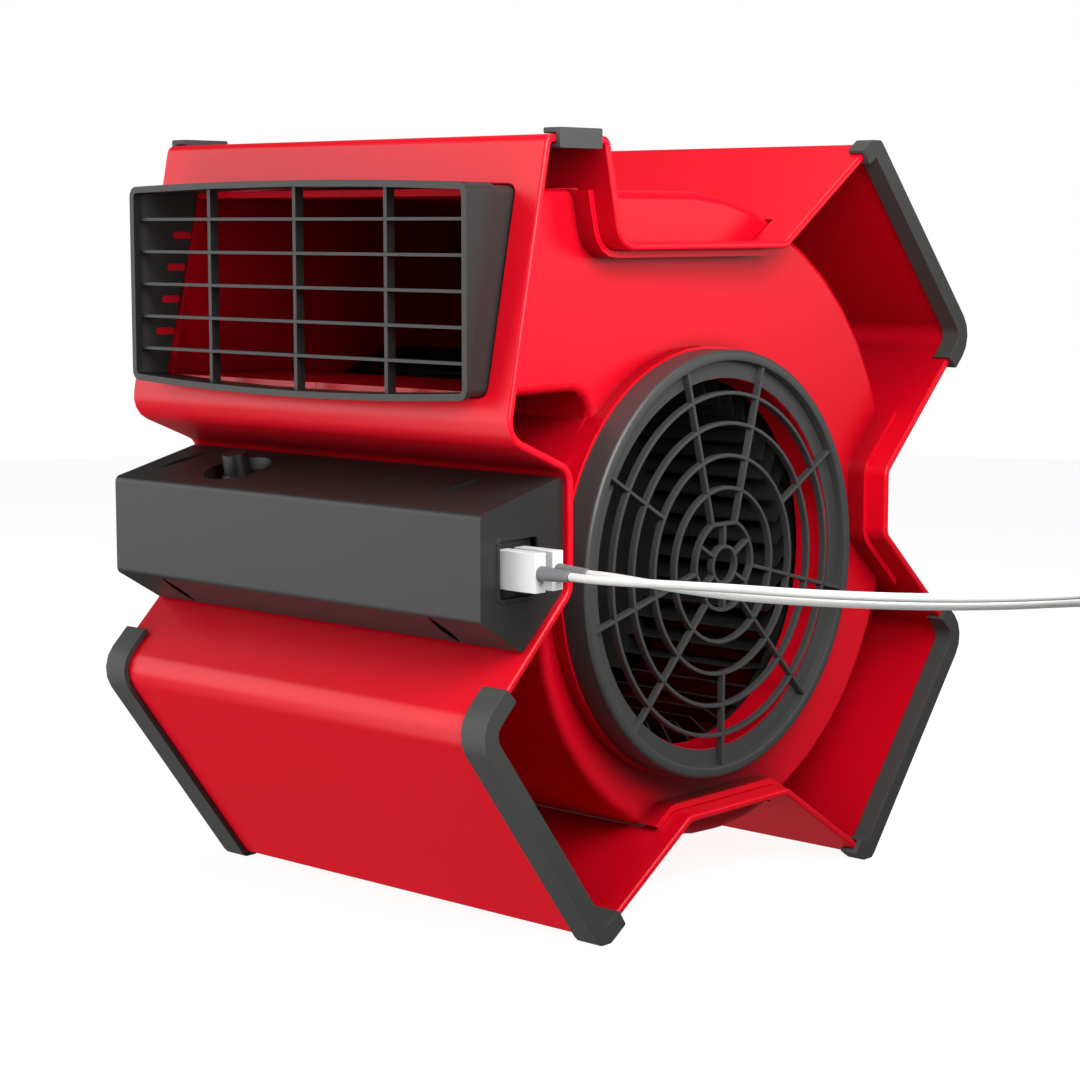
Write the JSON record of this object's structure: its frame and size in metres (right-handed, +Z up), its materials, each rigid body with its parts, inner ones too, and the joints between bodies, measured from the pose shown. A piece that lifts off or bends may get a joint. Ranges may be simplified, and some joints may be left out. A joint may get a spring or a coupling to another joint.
{
  "type": "air mover",
  "caption": "Centrifugal utility blower in an X-shaped moulded housing with rubber bumpers, guarded round inlet and front outlet, switch knob and USB power port.",
  "frame": {"origin": "under the middle of the machine's box, on the floor it stands on, without the USB plugs and leads", "axes": "+Z up, -Y out of the air outlet, +X along the wheel's axis out of the air inlet"},
  "size_m": [0.4902, 0.356, 0.35],
  "materials": {
    "red": "glossy moulded",
    "black": "fine texture",
    "rubber": "matte",
    "steel": "plain",
    "zinc": "dull metal",
    "white": "smooth",
    "grey": "satin",
    "cable": "satin sheath",
    "board": "lacquered board"
  },
  "bodies": {
    "housing": {"x_band": "red", "volute_right": "red", "volute_left": "red", "inlet_grille": "black", "motor_grille": "black", "outlet_grille": "black", "control_box": "black", "cord_gland": "black", "gland_nut": "black", "usb_module": "black", "motor_grommet_1": "rubber", "motor_grommet_2": "rubber", "motor_grommet_3": "rubber", "wire_grommet": "rubber", "bumper_lower_front_right": "rubber", "bumper_lower_front_left": "rubber", "bumper_lower_back_right": "rubber", "bumper_lower_back_left": "rubber", "bumper_upper_back_right": "rubber", "bumper_upper_back_left": "rubber", "bumper_upper_front_right": "rubber", "bumper_upper_front_left": "rubber", "motor_front_bell": "steel", "motor_rear_bell": "steel", "front_bearing": "steel", "rear_bearing": "steel", "motor_bracket": "steel", "capacitor_clip": "steel", "motor_screw_1": "steel", "motor_screw_2": "steel", "motor_screw_3": "steel", "motor_stator": "zinc", "terminal_block": "white", "rotary_switch": "grey", "run_capacitor": "grey", "usb_board": "board"},
    "wheel": {"blower_wheel": "black", "wheel_hub": "zinc", "hub_set_screw": "steel", "motor_shaft": "steel", "motor_rotor": "zinc", "cooling_fan": "black"},
    "knob": {"switch_knob": "black", "switch_shaft": "steel"},
    "usb_cable_1": {"usb_plug_1": "white", "usb_shell_1": "steel", "usb_relief_1": "grey", "usb_lead_1": "cable", "far_connector_1": "white", "far_contact_1": "steel"},
    "usb_cable_2": {"usb_plug_2": "white", "usb_shell_2": "steel", "usb_relief_2": "grey", "usb_lead_2": "cable", "far_connector_2": "white", "far_contact_2": "steel"}
  },
  "joints": [
    {"name": "wheel_spin", "type": "hinge", "parent": "housing", "child": "wheel", "pos_m": [0, -0.01498, 0.1573], "axis": [1, 0, 0], "continuous": true},
    {"name": "knob_turn", "type": "hinge", "parent": "housing", "child": "knob", "pos_m": [-0.0586, -0.15011, 0.19958], "axis": [0, -0.2394, 0.9709], "range_deg": [0, 135]},
    {"name": "usb_plug_1_pull", "type": "slide", "parent": "housing", "child": "usb_cable_1", "axis": [1, 0, 0], "range_m": [0, 0.02]},
    {"name": "usb_plug_2_pull", "type": "slide", "parent": "housing", "child": "usb_cable_2", "axis": [1, 0, 0], "range_m": [0, 0.02]}
  ]
}
